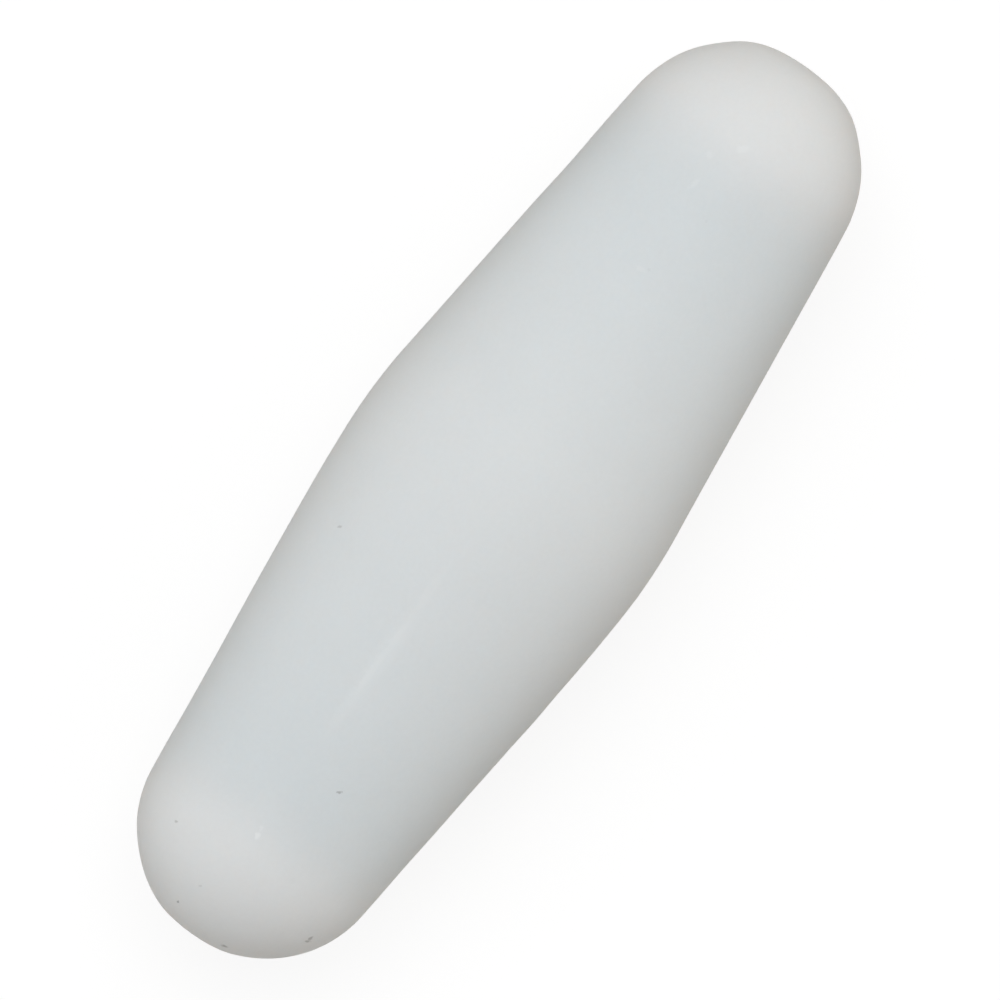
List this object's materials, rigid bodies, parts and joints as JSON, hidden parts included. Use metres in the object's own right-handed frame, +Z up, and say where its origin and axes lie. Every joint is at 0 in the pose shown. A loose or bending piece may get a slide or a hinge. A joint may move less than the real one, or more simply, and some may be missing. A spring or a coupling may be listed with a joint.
{
  "type": "magnetic stir bar",
  "caption": "Smooth white rod, thickest at its middle and tapered to two ball-nosed ends, with a bar magnet sealed inside; a rotating magnetic field spins it to stir a liquid.",
  "frame": {"origin": "centre of the bar, on its axis and half way between its tips", "axes": "+X along the bar towards one tip, +Z up from the vessel's floor to the bar, and the bar spins about Z in use"},
  "size_m": [0.05, 0.0158, 0.0158],
  "materials": {
    "ptfe": "satin",
    "magnet_alloy": "satin"
  },
  "bodies": {
    "root": {"jacket": "ptfe", "bar_magnet": "magnet_alloy"}
  },
  "joints": []
}
